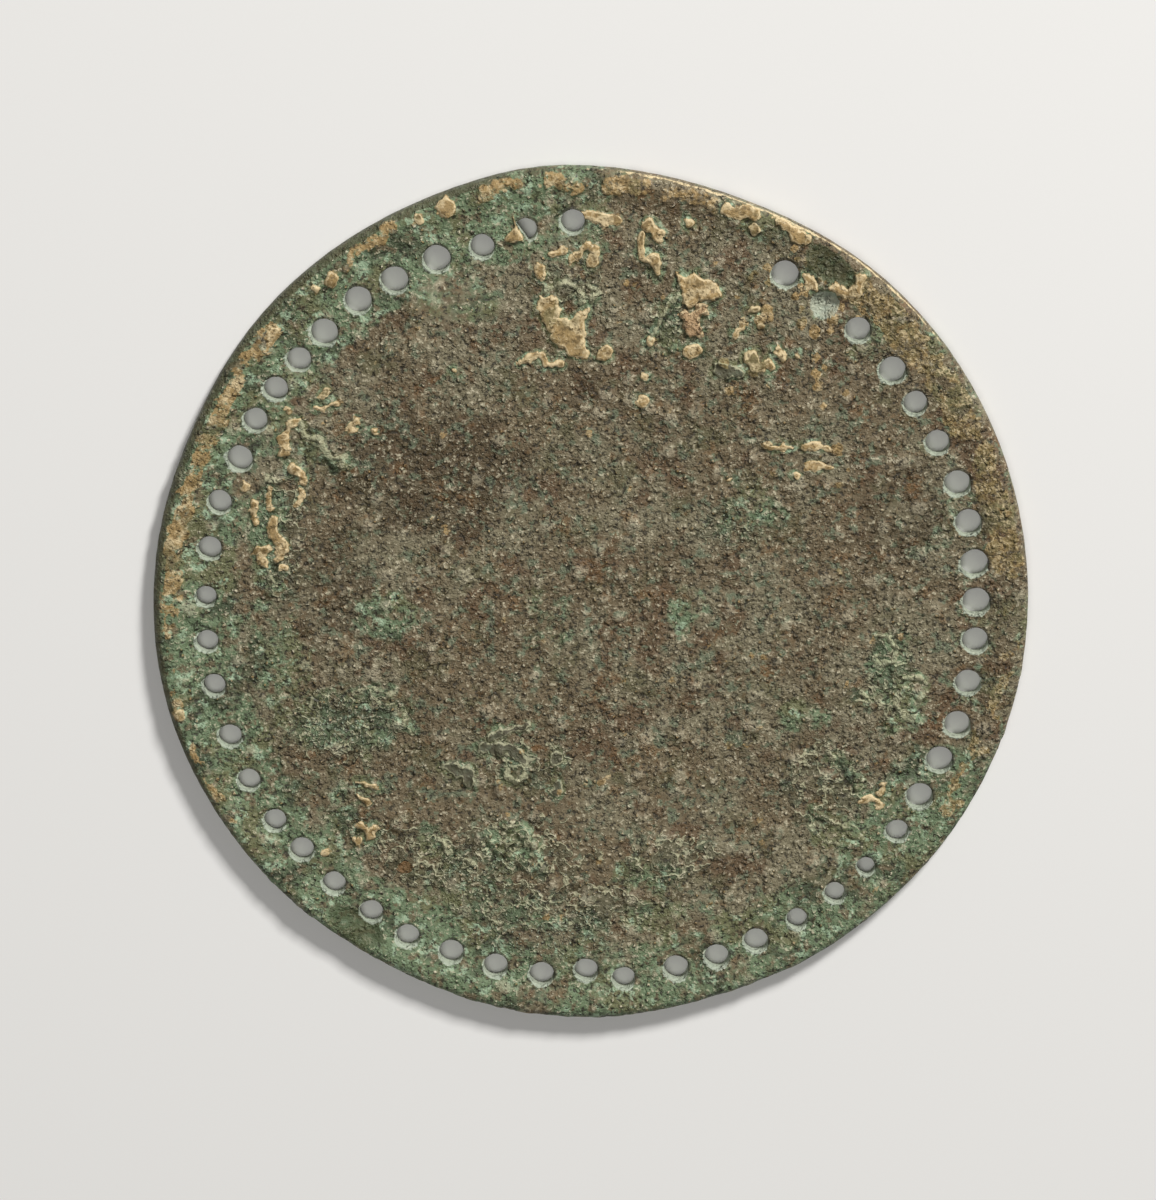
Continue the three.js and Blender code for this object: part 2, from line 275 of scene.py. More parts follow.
# Crusts that can be made out one by one: kind, height, width (0 for an outline), and path.
CRUSTS = [
    # the handle's gap
    ("tan", 0.45, 2.0, [(7.4, 47.9), (8.2, 47.0)]),
    ("tan", 0.35, 1.1, [(6.5, 46.4), (6.3, 44.4)]),
    ("tan", 0.45, 1.5, [(7.6, 43.8), (8.2, 42.2)]),
    ("tan", 0.42, 0, [(10.8, 41.8), (12.8, 42.3), (14.2, 41.2), (15.9, 40.7), (16.1, 39.4),
                      (15.3, 38.7), (13.9, 38.8), (12.8, 37.7), (11.5, 38.3), (11.1, 40.1)]),
    ("pink", 0.4, 0, [(11.9, 37.5), (14.6, 37.9), (14.8, 37.0), (13.5, 36.2), (13.9, 34.4),
                      (13.3, 33.3), (12.2, 33.8), (11.7, 35.3), (11.3, 36.8)]),
    ("tan", 0.25, 1.7, [(12.8, 32.0)]),
    ("green", 0.2, 1.8, [(10.4, 38.6), (10.3, 37.0), (9.6, 35.0), (10.0, 33.0)]),
    ("crest", 0.3, 0.5, [(11.0, 40.5), (9.8, 38.5), (8.4, 35.4), (7.8, 33.6)]),
    ("tan", 0.35, 1.5, [(7.6, 33.3)]),
    ("tan", 0.32, 0, [(-6.3, 39.0), (-4.5, 39.1), (-4.0, 37.9), (-3.8, 36.4), (-2.2, 36.1),
                      (-1.5, 37.4), (-0.3, 37.5), (-0.6, 35.3), (-0.3, 31.6), (-1.8, 31.6),
                      (-3.8, 32.5), (-4.9, 33.5), (-4.7, 34.4), (-5.6, 34.8), (-5.8, 35.9),
                      (-6.8, 37.4)]),
    ("tan", 0.4, 1.4, [(1.4, 31.8), (2.2, 32.0)]),
    ("tan", 0.25, 0.8, [(-8.4, 30.9), (-6.5, 31.4), (-5.3, 30.7), (-3.8, 30.3)]),
    ("crest", 0.3, 0.55, [(-5.6, 39.9), (-3.4, 40.8), (-1.6, 40.0), (-1.3, 38.4)]),
    ("crest", 0.28, 0.5, [(-0.2, 40.4), (0.9, 39.6), (0.3, 38.5)]),
    ("tan", 0.3, 0.9, [(-2.2, 43.6), (-0.4, 45.4), (1.0, 45.2)]),
    ("tan", 0.25, 1.3, [(0.8, 45.0), (0.6, 43.0)]),
    ("tan", 0.22, 0.9, [(-4.9, 44.4), (-3.2, 44.6)]),
    ("tan", 0.25, 1.2, [(-6.5, 42.8), (-6.3, 41.9)]),
    ("tan", 0.25, 1.3, [(1.5, 48.5)]),
    ("tan", 0.25, 1.0, [(12.2, 48.1)]),
    ("tan", 0.22, 1.3, [(-1.5, 49.2), (3.2, 48.8)]),
    ("grey", 0.32, 0, [(15.2, 30.5), (16.8, 30.7), (19.4, 29.5), (19.0, 28.6), (16.8, 28.3),
                       (15.4, 29.2)]),
    ("tan", 0.4, 1.4, [(20.1, 31.4), (20.6, 29.9), (22.3, 30.3)]),
    ("tan", 0.35, 1.2, [(23.7, 31.6)]),
    ("tan", 0.25, 0.8, [(25.8, 31.7)]),
    ("tan", 0.3, 1.2, [(20.4, 37.2)]),
    ("tan", 0.3, 1.2, [(18.4, 34.2)]),
    ("tan", 0.25, 0.9, [(21.3, 35.0)]),
    ("tan", 0.25, 1.2, [(7.0, 29.0)]),
    ("tan", 0.25, 1.4, [(6.6, 26.0)]),
    ("tan", 0.22, 0.9, [(-16.6, 29.6)]),
    # the torn flake that half covers one hole
    ("tan", 0.5, 0, [(-9.6, 48.9), (-8.9, 48.2), (-7.8, 46.4), (-7.9, 45.7), (-10.3, 45.8),
                     (-10.4, 46.8), (-9.7, 47.9)]),
    # the rim, from the top to the left
    ("tan", 0.3, 1.7, [(20.5, 49.5), (16.9, 50.1)]),
    ("tan", 0.25, 1.6, [(20.5, 47.7)]),
    ("tan", 0.3, 1.3, [(23.1, 48.6), (26.7, 46.4)]),
    ("thin", 0.16, 1.8, [(9.3, 52.2), (11.1, 52.4), (14.9, 51.1)]),
    ("thin", 0.16, 2.4, [(2.6, 53.2), (6.8, 52.8)]),
    ("thin", 0.16, 2.2, [(-4.7, 53.6), (-1.8, 53.2)]),
    ("thin", 0.14, 1.8, [(-13.0, 52.6), (-9.2, 53.3)]),
    ("tan", 0.38, 2.4, [(-17.9, 50.4)]),
    ("tan", 0.3, 1.5, [(-21.1, 48.9)]),
    ("thin", 0.2, 1.8, [(-30.1, 42.9), (-29.0, 44.7), (-26.1, 46.7), (-24.6, 48.1)]),
    ("tan", 0.32, 1.7, [(-32.2, 41.3)]),
    ("tan", 0.22, 1.2, [(-34.1, 40.2)]),
    ("tan", 0.25, 1.3, [(-39.3, 34.6), (-40.1, 33.2)]),
    ("tan", 0.3, 1.4, [(-51.8, -14.6)]),
    # by the dent
    ("tan", 0.3, 1.3, [(30.4, 39.9), (31.9, 39.1), (33.1, 40.1), (33.5, 41.6)]),
    ("tan", 0.22, 1.1, [(26.7, 41.4), (27.7, 40.1)]),
    # curls on the left
    ("tan", 0.42, 1.6, [(-38.6, 21.3), (-38.3, 19.4)]),
    ("tan", 0.3, 0.9, [(-38.6, 21.6), (-37.8, 22.6), (-36.1, 23.5)]),
    ("crest", 0.3, 0.6, [(-36.0, 23.4), (-35.8, 21.5), (-33.9, 21.2), (-33.5, 19.7),
                         (-32.2, 18.7), (-30.6, 18.8), (-30.7, 17.8)]),
    ("green", 0.25, 1.3, [(-35.2, 20.2), (-33.7, 18.9), (-32.1, 17.6)]),
    ("tan", 0.4, 1.2, [(-37.2, 17.6), (-36.1, 16.5), (-35.9, 15.4)]),
    ("tan", 0.3, 0.9, [(-36.2, 14.4), (-36.8, 12.6)]),
    ("crest", 0.25, 0.6, [(-40.5, 15.7), (-38.7, 15.8)]),
    ("tan", 0.3, 0.9, [(-43.4, 15.3), (-43.2, 14.2)]),
    ("tan", 0.38, 1.0, [(-42.2, 12.7), (-42.0, 10.3)]),
    ("tan", 0.3, 1.0, [(-40.0, 14.2), (-40.3, 12.2)]),
    ("tan", 0.42, 1.3, [(-39.7, 10.6), (-40.1, 9.1), (-39.3, 8.0), (-38.6, 6.9), (-39.3, 5.5)]),
    ("tan", 0.35, 1.0, [(-42.0, 6.4), (-40.4, 6.5)]),
    ("tan", 0.3, 0.8, [(-41.4, 5.8), (-40.8, 4.4)]),
    ("crest", 0.3, 0.6, [(-40.8, 4.2), (-39.8, 2.8), (-39.3, 2.0)]),
    ("tan", 0.3, 1.1, [(-38.7, 4.3)]),
    ("tan", 0.22, 0.8, [(-34.3, 25.2), (-33.2, 24.8), (-32.1, 25.5)]),
    ("tan", 0.2, 0.9, [(-33.5, 26.4), (-32.9, 26.7)]),
    ("tan", 0.2, 0.9, [(-30.1, 22.3), (-28.9, 23.0)]),
    ("tan", 0.22, 1.0, [(-26.8, 21.7)]),
    ("tan", 0.2, 0.8, [(-38.0, 24.8)]),
    # streaks on the right
    ("tan", 0.2, 0.8, [(21.8, 19.9), (24.9, 20.2)]),
    ("tan", 0.2, 0.9, [(26.9, 20.3), (29.9, 20.0)]),
    ("tan", 0.2, 0.9, [(27.6, 17.9), (29.8, 17.5)]),
    ("tan", 0.2, 0.8, [(17.5, 15.7)]),
    ("tan", 0.2, 0.8, [(25.6, 16.2)]),
    ("tan", 0.28, 0.8, [(34.1, -26.0), (35.3, -25.8), (36.4, -26.5)]),
    ("tan", 0.28, 0.8, [(36.5, -25.1), (37.3, -24.0)]),
    # rings and ridges on the right
    ("crest", 0.28, 0.55, [(36.2, -4.2), (37.4, -4.5), (38.6, -6.0), (38.2, -7.8), (36.6, -8.2),
                         (35.8, -7.2)]),
    ("green", 0.2, 1.6, [(37.1, -6.4)]),
    ("crest", 0.25, 0.5, [(39.2, -10.0), (41.0, -9.5), (42.2, -10.8), (41.8, -13.6),
                          (40.4, -15.6), (38.9, -13.8), (39.0, -11.6)]),
    ("green", 0.25, 1.6, [(39.4, -12.0), (40.6, -13.6), (41.0, -15.4)]),
    ("green", 0.25, 1.4, [(38.6, -16.0)]),
    ("crest", 0.2, 0.45, [(34.3, -12.0), (35.4, -12.4), (35.0, -13.2), (34.1, -12.8)]),
    ("green", 0.3, 1.0, [(31.0, -20.5), (32.2, -21.0), (33.4, -23.0), (34.0, -24.0)]),
    ("green", 0.2, 1.0, [(28.5, -27.5), (31.0, -29.0), (34.5, -31.0)]),
    ("crest", 0.2, 0.4, [(28.0, -29.5), (30.0, -31.5), (32.5, -32.0)]),
    # plates and crusts below the middle
    ("grey", 0.22, 1.8, [(-13.6, -19.0), (-11.5, -19.2), (-9.6, -19.4), (-8.5, -20.6)]),
    ("grey", 0.2, 0.9, [(-12.4, -17.5), (-9.8, -16.5), (-7.5, -15.6)]),
    ("grey", 0.22, 1.6, [(-17.8, -21.7), (-16.8, -22.4), (-15.7, -22.3), (-15.3, -23.6)]),
    ("grey", 0.18, 1.7, [(-4.6, -20.4)]),
    ("grey", 0.18, 1.2, [(-4.4, -23.6), (-4.4, -24.5)]),
    ("crest", 0.22, 0.4, [(-23.5, -14.2), (-23.3, -16.0), (-22.3, -17.0)]),
    ("crest", 0.3, 0.5, [(-10.4, -21.4), (-8.9, -21.3), (-8.5, -22.6), (-9.4, -23.4),
                         (-10.6, -22.9), (-10.7, -21.8)]),
    ("crest", 0.22, 0.4, [(-30.0, -12.0), (-27.5, -11.0), (-25.5, -12.2), (-24.5, -11.0)]),
    ("green", 0.3, 0.9, [(-13.3, -30.6), (-12.2, -32.6), (-10.6, -33.2)]),
    ("green", 0.32, 1.0, [(-12.4, -31.5), (-7.8, -31.2)]),
    ("green", 0.25, 1.0, [(-10.7, -29.7), (-8.2, -30.1)]),
    ("green", 0.3, 1.1, [(-6.9, -31.9), (-6.5, -34.8)]),
    ("green", 0.3, 1.2, [(-9.2, -33.6), (-7.8, -34.8)]),
    ("crest", 0.25, 0.8, [(-19.2, -31.0), (-18.1, -32.9)]),
    ("crest", 0.25, 0.7, [(-17.0, -33.7), (-15.0, -34.2)]),
    ("tan", 0.25, 0.8, [(-29.4, -23.8), (-27.0, -24.3)]),
    ("tan", 0.25, 0.8, [(-29.7, -25.3), (-28.5, -26.3)]),
    ("tan", 0.28, 0.9, [(-29.2, -29.3), (-28.0, -30.8), (-27.3, -29.6)]),
    ("tan", 0.25, 1.0, [(-29.7, -31.1)]),
    ("tan", 0.22, 0.9, [(-33.9, -33.1)]),
]


def near_crusts(x, y):
    """Goes through the crusts: kind, height, which points are near one, and their depth in it."""
    ragged_x = x + 0.4 * unevenness(x, y, 1.6, 3, 3)
    ragged_y = y + 0.4 * unevenness(x, y, 1.6, 5, 3)
    knobbly = 0.22 * unevenness(x, y, 1.1, 6, 2)
    for kind, high, wide, path in CRUSTS:
        low_corner = np.min(path, axis=0) - 3
        high_corner = np.max(path, axis=0) + 3
        near = (x > low_corner[0]) & (x < high_corner[0])
        near &= (y > low_corner[1]) & (y < high_corner[1])
        inside = depth_inside(ragged_x[near], ragged_y[near], path, wide) + knobbly[near]
        yield kind, high, near, inside


# The face's grid, cut finer twice near the crusts' edges, and joined to a coarser one behind.
plate = bmesh.new()
bmesh.ops.create_grid(plate, x_segments=FACE_ROWS, y_segments=FACE_ROWS, size=1)
for reach_in, reach_out in FINER:
    square = points_of(plate)
    wanted = np.zeros(len(square), bool)
    turn = turn_of(square)
    travel = travel_of(square)
    for kind, high, near, inside in near_crusts(travel * np.cos(turn), travel * np.sin(turn)):
        wanted[near] |= (inside > -reach_out) & (inside < reach_in)
    split = [e for e in plate.edges if wanted[e.verts[0].index] and wanted[e.verts[1].index]]
    bmesh.ops.subdivide_edges(plate, edges=split, cuts=1, use_grid_fill=True)
    plate.verts.index_update()
back = bmesh.ops.create_grid(plate, x_segments=BACK_ROWS, y_segments=BACK_ROWS, size=1)
for vertex in back["verts"]:
    vertex.co.z = -1
bmesh.ops.bridge_loops(plate, edges=[e for e in plate.edges if e.is_boundary])
bmesh.ops.recalc_face_normals(plate, faces=plate.faces)
square = points_of(plate)
skin = bpy.data.meshes.new("mirror_skin")
plate.to_mesh(skin)
plate.free()

on_face = square[:, 2] > -0.5
bearing = turn_of(square)
out_x = np.cos(bearing)
out_y = np.sin(bearing)
edge_here = edge_at(bearing)
travel = travel_of(square)
past_foot = travel - (edge_here - RIM_WIDTH)
inset = np.interp(past_foot, section_runs, section[:, 0])
reach = np.where(past_foot < 0, travel, edge_here - inset)
height = np.interp(past_foot, section_runs, section[:, 1])
lean = np.where(past_foot < 0, 0, np.interp(past_foot, section_runs, section[:, 2]))
back_reach = np.abs(square[:, :2]).max(axis=1) * (edge_here - BACK_BORDER)
reach = np.where(on_face, reach, back_reach)
height = np.where(on_face, height, 0)
lean = np.where(on_face, lean, math.pi)
across = np.where(on_face, travel, back_reach)
u = across * out_x
v = across * out_y

# What the crusts cover, from 0 to 1, with a pale edging round each and green salts about it.
EDGING_INSET = 0.15
EDGING_WIDTH = 0.18
THIN_COVER = 0.62
HALO_COVER = 0.6
EDGINGS = {
    # Pale edging on tan and pink crusts: partly paler earth, partly a painted highlight on their
    # flanks.
    "tan": ("lip", 0.7),
    "pink": ("lip", 0.7),
    "green": ("crest", 0.5),
    "grey": ("crest", 0.75),
    "crest": ("crest", 0.7),
}
COVER_KINDS = ("tan", "pink", "green", "grey", "crest", "lip", "halo")
cover = {kind: np.zeros_like(u) for kind in COVER_KINDS}
crust_rise = np.zeros_like(u)
lumps = unevenness(u, v, 0.9, 8)
for kind, high, near, inside in near_crusts(u, v):
    flat_top = 0.85 + 0.25 * lumps[near]
    if kind == "grey":
        flat_top = 0.6 + 0.4 * (1 - ease(inside, 0.2, 0.6))
    rise = high * ease(inside, -0.1, 0.25) * flat_top
    crust_rise[near] = np.maximum(crust_rise[near], rise)
    if kind == "thin":
        spread = [("tan", THIN_COVER * ease(inside, -0.6, 0.5))]
    else:
        edging, strength = EDGINGS[kind]
        spread = [
            (kind, ease(inside, -0.1, 0.1)),
            (edging, strength * np.exp(-(((inside - EDGING_INSET) / EDGING_WIDTH) ** 2))),
            ("halo", HALO_COVER * ease(inside, -1.4, -0.2)),
        ]
    for name, share in spread:
        cover[name][near] = np.maximum(cover[name][near], share)
crust_rise *= on_face

# Zones of the surface, each from 0 to 1: the border, smooth or granular, and green, rusty, brown,
# salty and curled ones.
border = ease(reach, 42.0, 46.5)
outer_line = ease(reach, edge_here - 1.2, edge_here - 0.7)
glint_line = ease(reach, edge_here - 0.5, edge_here - 0.25)
left_border = border * stretch(bearing, 85, 250, 20)
lower_border = border * stretch(bearing, 240, 335, 20)
right_border = border * stretch(bearing, -40, 60, 16)
smooth_patch = patch(u, v, (-17, 38.5), (8.5, 4.5))
smooth_low = patch(u, v, (0, -32), (34, 16))
coarse_left = patch(u, v, (-32, -16), (14, 9))
blotch = unevenness(u, v, 5.0, 11, 3)
green_border = 0.8 * left_border + 0.7 * lower_border + 0.35 * right_border
GREEN_PATCHES = [
    ((-25.6, -2.0), (6.5, 5.0), 0.8),
    ((-17.0, 38.5), (9.0, 4.6), 0.65),
    ((-5.1, -3.5), (7.0, 9.5), 0.55),
    ((20.0, 11.0), (7.5, 7.5), 0.6),
    ((12.5, -1.0), (4.5, 6.5), 0.7),
    ((-31.0, -15.5), (13.0, 6.5), 0.65),
    ((-36.0, -28.0), (10.0, 10.0), 0.65),
    ((-40.0, -6.0), (7.0, 12.0), 0.6),
    ((27.0, -15.0), (6.0, 4.0), 0.5),
    ((12.0, -42.0), (14.0, 4.5), 0.6),
    ((-17.0, -38.0), (12.0, 7.0), 0.6),
    ((-10.0, -32.5), (6.0, 5.0), 0.8),
    ((-20.0, -31.0), (4.0, 4.5), 0.5),
    ((26.4, -14.5), (4.0, 3.0), 0.6),
    ((38.0, -9.0), (4.5, 8.0), 0.7),
    ((7.5, -35.5), (9.0, 3.5), 0.6),
    ((-2.0, -41.0), (20.0, 4.5), 0.65),
    ((31.0, -25.0), (6.0, 8.0), 0.5),
    ((-40.5, 10.0), (4.0, 12.0), 0.75),
    ((0.0, 39.0), (6.0, 5.0), 0.35),
    ((-9.0, 43.0), (9.0, 4.0), 0.4),
    ((4.0, 46.0), (12.0, 3.0), 0.4),
    ((10.0, 36.0), (4.0, 4.0), 0.45),
]
RUST_PATCHES = [
    ((-6.5, -19.1), (1.8, 1.0), 0.7),
    ((-23.7, -34.8), (1.6, 1.3), 0.9),
    ((22.0, -9.5), (2.2, 3.0), 0.45),
    ((40.5, 14.5), (2.5, 4.0), 0.45),
]
BROWN_PATCHES = [
    ((4.5, 42.0), (4.2, 3.0), 0.9),
    ((-20.0, 16.0), (21.0, 15.0), 0.9),
    ((-3.0, 28.0), (11.0, 6.0), 0.7),
    ((38.0, 13.0), (12.0, 15.0), 0.75),
    ((-33.0, 0.0), (12.0, 12.0), 0.8),
    ((20.0, -24.0), (12.0, 9.0), 0.4),
]
SALT_PATCHES = [
    ((-31.0, -16.0), (9.0, 5.5), 1.0),
    ((-5.0, -43.5), (15.0, 5.5), 0.9),
    ((17.5, 9.5), (6.5, 6.0), 0.6),
    ((-5.0, -5.0), (6.0, 6.0), 0.5),
    ((-14.0, -35.0), (8.0, 6.0), 0.7),
]
CURL_PATCHES = [
    ((-9.0, -32.5), (14.0, 7.0), 1.0),
    ((-4.0, -40.0), (20.0, 5.0), 0.9),
    ((-31.0, -15.5), (11.0, 6.5), 1.0),
    ((-22.0, -33.0), (9.0, 7.0), 0.8),
    ((10.0, -33.5), (9.0, 5.0), 0.8),
    ((38.0, -9.0), (4.5, 9.0), 0.7),
    ((30.0, -24.0), (8.0, 9.0), 0.8),
    ((-38.5, 10.0), (5.0, 15.0), 0.6),
    ((-3.0, 40.5), (8.0, 5.0), 0.6),
    ((9.5, 36.0), (4.0, 5.0), 0.6),
    ((17.0, 10.0), (7.0, 7.0), 0.5),
    ((-9.0, -20.0), (11.0, 6.0), 0.6),
]
green_zone = np.maximum(green_border, zone(u, v, GREEN_PATCHES))
green_zone = np.clip(green_zone + 0.22 * blotch, 0, 1)
rust_zone = zone(u, v, RUST_PATCHES)
brown_zone = np.clip(zone(u, v, BROWN_PATCHES) + 0.2 * blotch, 0, 1)
salt_zone = zone(u, v, SALT_PATCHES)
curl_zone = zone(u, v, CURL_PATCHES)

rough_share = 1 - 0.75 * smooth_patch - 0.3 * (left_border + lower_border) * (1 - outer_line)
fine_grain = 0.05 * unevenness(u, v, GRAIN, 21, 1)
coarse_grain = blisters(u, v, BLISTER, 0.35, 31) * 0.4
sparse_lumps = blisters(u, v, LUMP, 0.14, 41) * 0.3
hollows = 0.1 * ease(unevenness(u, v, 1.6, 51, 2), 0.45, 0.9)
waves = 0.07 * unevenness(u, v, 7.0, 61, 2) + 0.06 * unevenness(u, v, 1.6, 62, 2)
grain_rise = fine_grain + coarse_grain * (0.75 + 0.5 * coarse_left) + sparse_lumps - hollows
relief = (waves + rough_share * (grain_rise - 0.05)) * (1 - 0.65 * outer_line)

tan_right = patch(u, v, (24, 34), (18, 18)) + 0.7 * patch(u, v, (28, 18), (12, 8))
tan_right = np.maximum(tan_right, 0.35 * (1 - border))
earth_specks = blisters(u, v, 1.6, 0.42, 71)
earth_specks *= np.clip(tan_right * ease(unevenness(u, v, 5, 72), -0.6, 0.5), 0, 1)
relief += 0.45 * earth_specks

bands = np.zeros_like(u)
for first, last, near_edge, far_edge, amount in [
    (138, 186, 1.0, 3.6, 1.0),
    (186, 215, 0.6, 2.2, 0.55),
    (95, 138, 0.9, 3.0, 0.45),
    (60, 95, 0.8, 3.2, 0.35),
    (2, 60, 0.9, 5.0, 0.95),
    (-35, 2, 0.8, 3.6, 0.6),
    (300, 330, 0.5, 2.4, 0.35),
]:
    from_edge = edge_here - reach + 0.5 * unevenness(u, v, 2.0, 81)
    width_share = ease(from_edge, near_edge - 0.3, near_edge + 0.3)
    width_share *= 1 - ease(from_edge, far_edge - 0.5, far_edge + 0.5)
    bands = np.maximum(bands, amount * width_share * stretch(bearing, first, last, 10))
band_cover = ease(bands + 0.45 * unevenness(u, v, 1.9, 82, 3), 0.45, 0.8)
relief += 0.14 * band_cover

# The dent in the rim and the closed hole's pit, at the CAD's own places.
DENT_BEARING = math.radians(55)
DENT_REACH = 52.1
DENT_HALF_LENGTH = 4.4
DENT_HALF_WIDTH = 2.3
DENT_DEPTH = 0.62
PIT_PLACE = (29.1, 38.0)
PIT_RADIUS = 1.85
PIT_DEPTH = 0.75
dent_along = (u - DENT_REACH * math.cos(DENT_BEARING)) * -math.sin(DENT_BEARING)
dent_along += (v - DENT_REACH * math.sin(DENT_BEARING)) * math.cos(DENT_BEARING)
dent_across = np.hypot(u, v) - DENT_REACH
dent_away = np.hypot(dent_along / DENT_HALF_LENGTH, dent_across / DENT_HALF_WIDTH)
dent_away += 0.12 * unevenness(u, v, 2.0, 91)
dent_share = 1 - ease(dent_away, 0.35, 1.05)
pit_away = np.hypot(u - PIT_PLACE[0], v - PIT_PLACE[1]) / PIT_RADIUS
pit_away += 0.08 * unevenness(u, v, 1.0, 92)
pit_share = 1 - ease(pit_away, 0.6, 1.1)
band_cover *= 1 - dent_share
relief = relief * (1 - 0.5 * np.maximum(dent_share, pit_share))
relief += np.where(cover["tan"] > 0.5, crust_rise - 0.5 * relief, crust_rise)
relief -= DENT_DEPTH * dent_share + PIT_DEPTH * pit_share

# The back is plainer: low swellings, shallow pits and a fine grain, none of it below the table.
back_relief = 0.1 + 0.05 * unevenness(u, v, 9.0, 101, 2) + 0.03 * unevenness(u, v, 2.4, 102, 2)
back_relief += 0.12 * blisters(u, v, 2.6, 0.35, 103)
back_relief = np.clip(back_relief, 0, 0.3)
relief = np.where(on_face, relief, -back_relief)

# The outer wall keeps its place, so its relief is low and bites inwards.
wall_share = ease(past_foot, section_runs[-3] - 0.6, section_runs[-3]) * on_face
wall_relief = 0.03 * unevenness(u, v, 1.6, 111, 2) - 0.05
foot_share = ease(past_foot, section_runs[-2] - 0.2, section_runs[-2]) * on_face
relief = relief * (1 - wall_share) + wall_relief * wall_share * (1 - foot_share)

place = np.stack([reach * out_x, reach * out_y, height], axis=1)
outwards = np.stack([np.sin(lean) * out_x, np.sin(lean) * out_y, np.cos(lean)], axis=1)
place += outwards * relief[:, None]

# No crust stands above the CAD solid: the last bit of height below its top is pressed together.
PRESSED = 0.16
knee = cad_high.z / MILLIMETRE - PRESSED
over = np.clip(place[:, 2] - knee, 0, None)
place[:, 2] = np.where(over > 0, knee + PRESSED * np.tanh(over / PRESSED), place[:, 2])
place[:, 2] = np.maximum(place[:, 2], 0)
skin.vertices.foreach_set("co", (place * MILLIMETRE).astype(np.float32).ravel())
skin.update()
mirror = bpy.data.objects.new("mirror_plate", skin)
bpy.context.scene.collection.objects.link(mirror)

# The punched holes
# Some forty holes punched by eye from the face, each with a worn mouth and a little ragged with
# corrosion. They are cut through the finished skin where the CAD solid has its bores. A torn
# flake of crust still covers the left half of one.
HOLE_SIDES = 32
HOLE_RIPPLE = 0.07
MOUTH_WIDTH = 0.12
MOUTH_DEPTH = 0.35
BACK_LIP = 0.12
HOLE_LEVELS = [
    (-1, BACK_LIP),
    (0, BACK_LIP),
    (0.3, 0),
    (FIELD_THICK - MOUTH_DEPTH, 0),
    (FIELD_THICK - MOUTH_DEPTH / 2, 0.3 * MOUTH_WIDTH),
    (FIELD_THICK, MOUTH_WIDTH),
    (FIELD_THICK + 2, 1.4 * MOUTH_WIDTH),
]
FLAKE_EDGE = (-8.6, 47.4)
FLAKE_SIDE = (0.83, 0.56)

bores = []
for loop in bore_loops:
    middle = (loop.max(axis=0) + loop.min(axis=0)) / 2
    bores.append((middle[0], middle[1], np.hypot(*(loop - middle).T).mean()))
half_covered = min(bores, key=lambda bore: math.dist(bore[:2], FLAKE_EDGE))

punches = bmesh.new()
hole_turns = np.arange(HOLE_SIDES) * 2 * math.pi / HOLE_SIDES
for number, bore in enumerate(bores):
    bore_x, bore_y, bore_radius = bore
    ripple = unevenness(np.cos(hole_turns) + 9.0 * number, np.sin(hole_turns), 0.9, 121, 3)
    rings = []
    for level_z, wider in HOLE_LEVELS:
        ring_made = bmesh.ops.create_circle(punches, segments=HOLE_SIDES, radius=1)["verts"]
        radii = bore_radius + HOLE_RIPPLE * ripple + wider
        for vertex, turn, radius in zip(ring_made, hole_turns, radii):
            ring_x = bore_x + radius * math.cos(turn)
            ring_y = bore_y + radius * math.sin(turn)
            vertex.co = (ring_x, ring_y, level_z)
        rings.append(ring_made)
    hoops = [list(dict.fromkeys(e for v in ring for e in v.link_edges)) for ring in rings]
    for lower, upper in zip(hoops, hoops[1:]):
        bmesh.ops.bridge_loops(punches, edges=lower + upper)
    if bore is half_covered:
        ends = [edge for edge in hoops[0] + hoops[-1] if edge.is_boundary]
        bmesh.ops.holes_fill(punches, edges=ends, sides=0)
        corners = [vertex for ring in rings for vertex in ring]
        wall = list(dict.fromkeys(face for v in corners for face in v.link_faces))
        wall_edges = list(dict.fromkeys(edge for face in wall for edge in face.edges))
        bmesh.ops.bisect_plane(
            punches,
            geom=corners + wall_edges + wall,
            plane_co=(*FLAKE_EDGE, 0),
            plane_no=(*FLAKE_SIDE, 0),
            clear_inner=True,
        )
bmesh.ops.holes_fill(punches, edges=[e for e in punches.edges if e.is_boundary], sides=0)
bmesh.ops.recalc_face_normals(punches, faces=punches.faces)
bmesh.ops.scale(punches, vec=(MILLIMETRE, MILLIMETRE, MILLIMETRE), verts=punches.verts)
punch_mesh = bpy.data.meshes.new("punches")
punches.to_mesh(punch_mesh)
punches.free()
punch = bpy.data.objects.new("punches", punch_mesh)
bpy.context.scene.collection.objects.link(punch)

cutting = mirror.modifiers.new("punched holes", "BOOLEAN")
cutting.operation = "DIFFERENCE"
cutting.solver = "MANIFOLD"
cutting.object = punch
bpy.context.view_layer.update()
evaluated = mirror.evaluated_get(bpy.context.evaluated_depsgraph_get())
pierced = bpy.data.meshes.new_from_object(evaluated)
mirror.modifiers.remove(cutting)
mirror.data = pierced
bpy.data.objects.remove(punch)
for polygon in pierced.polygons:
    polygon.use_smooth = True
pierced.set_sharp_from_angle(angle=math.radians(55))
